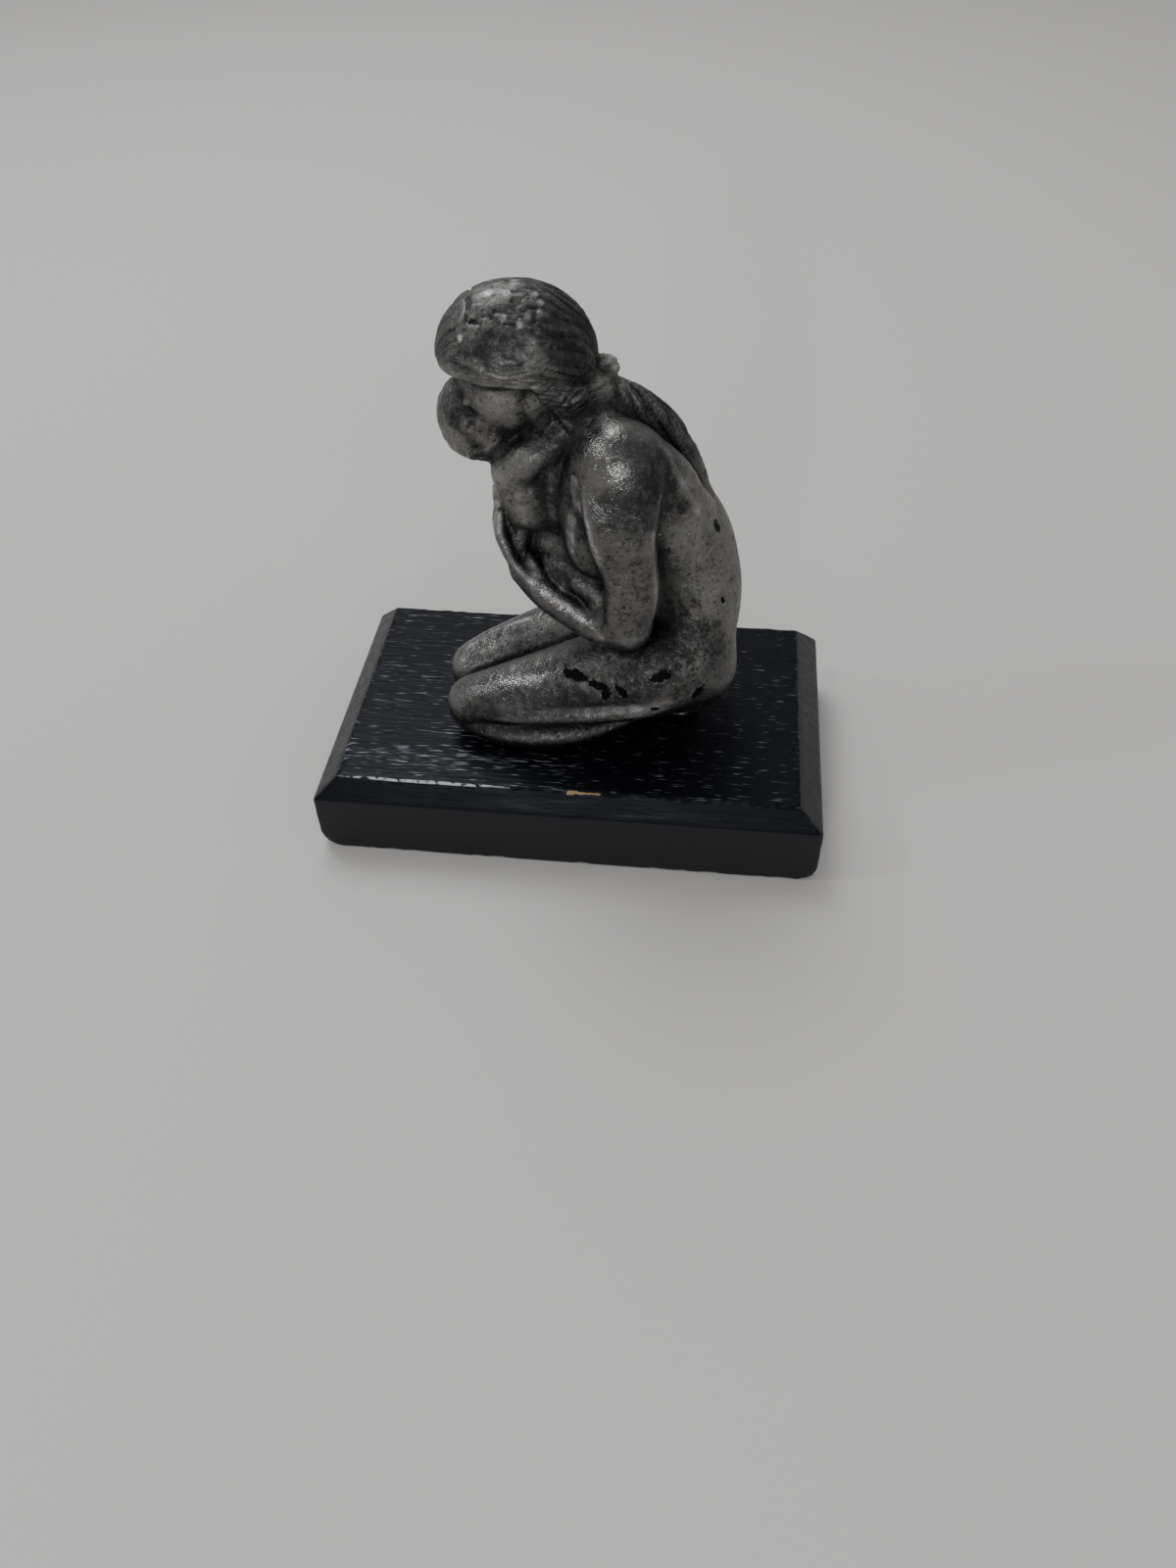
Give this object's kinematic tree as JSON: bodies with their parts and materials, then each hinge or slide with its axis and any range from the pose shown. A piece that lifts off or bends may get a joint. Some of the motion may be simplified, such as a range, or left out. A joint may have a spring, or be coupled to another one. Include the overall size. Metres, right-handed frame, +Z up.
{
  "type": "mother and child statuette",
  "caption": "Dark cast metal statuette of a kneeling mother bent over the child in her arms, on a black painted wooden plinth with bevelled upper edges.",
  "frame": {"origin": "middle of the plinth's underside", "axes": "+Z up; X along the plinth's long side, with the woman facing -X; her left side is -Y"},
  "size_m": [0.1, 0.06, 0.1059],
  "materials": {
    "cast_metal": "satin dark pewter grey, darker in the hollows, with a few black flaked chips",
    "black_painted_wood": "satin black paint over a fine straight grain, worn along the upper edges"
  },
  "bodies": {
    "root": {"mother_and_child": "cast_metal", "plinth": "black_painted_wood"}
  },
  "joints": []
}
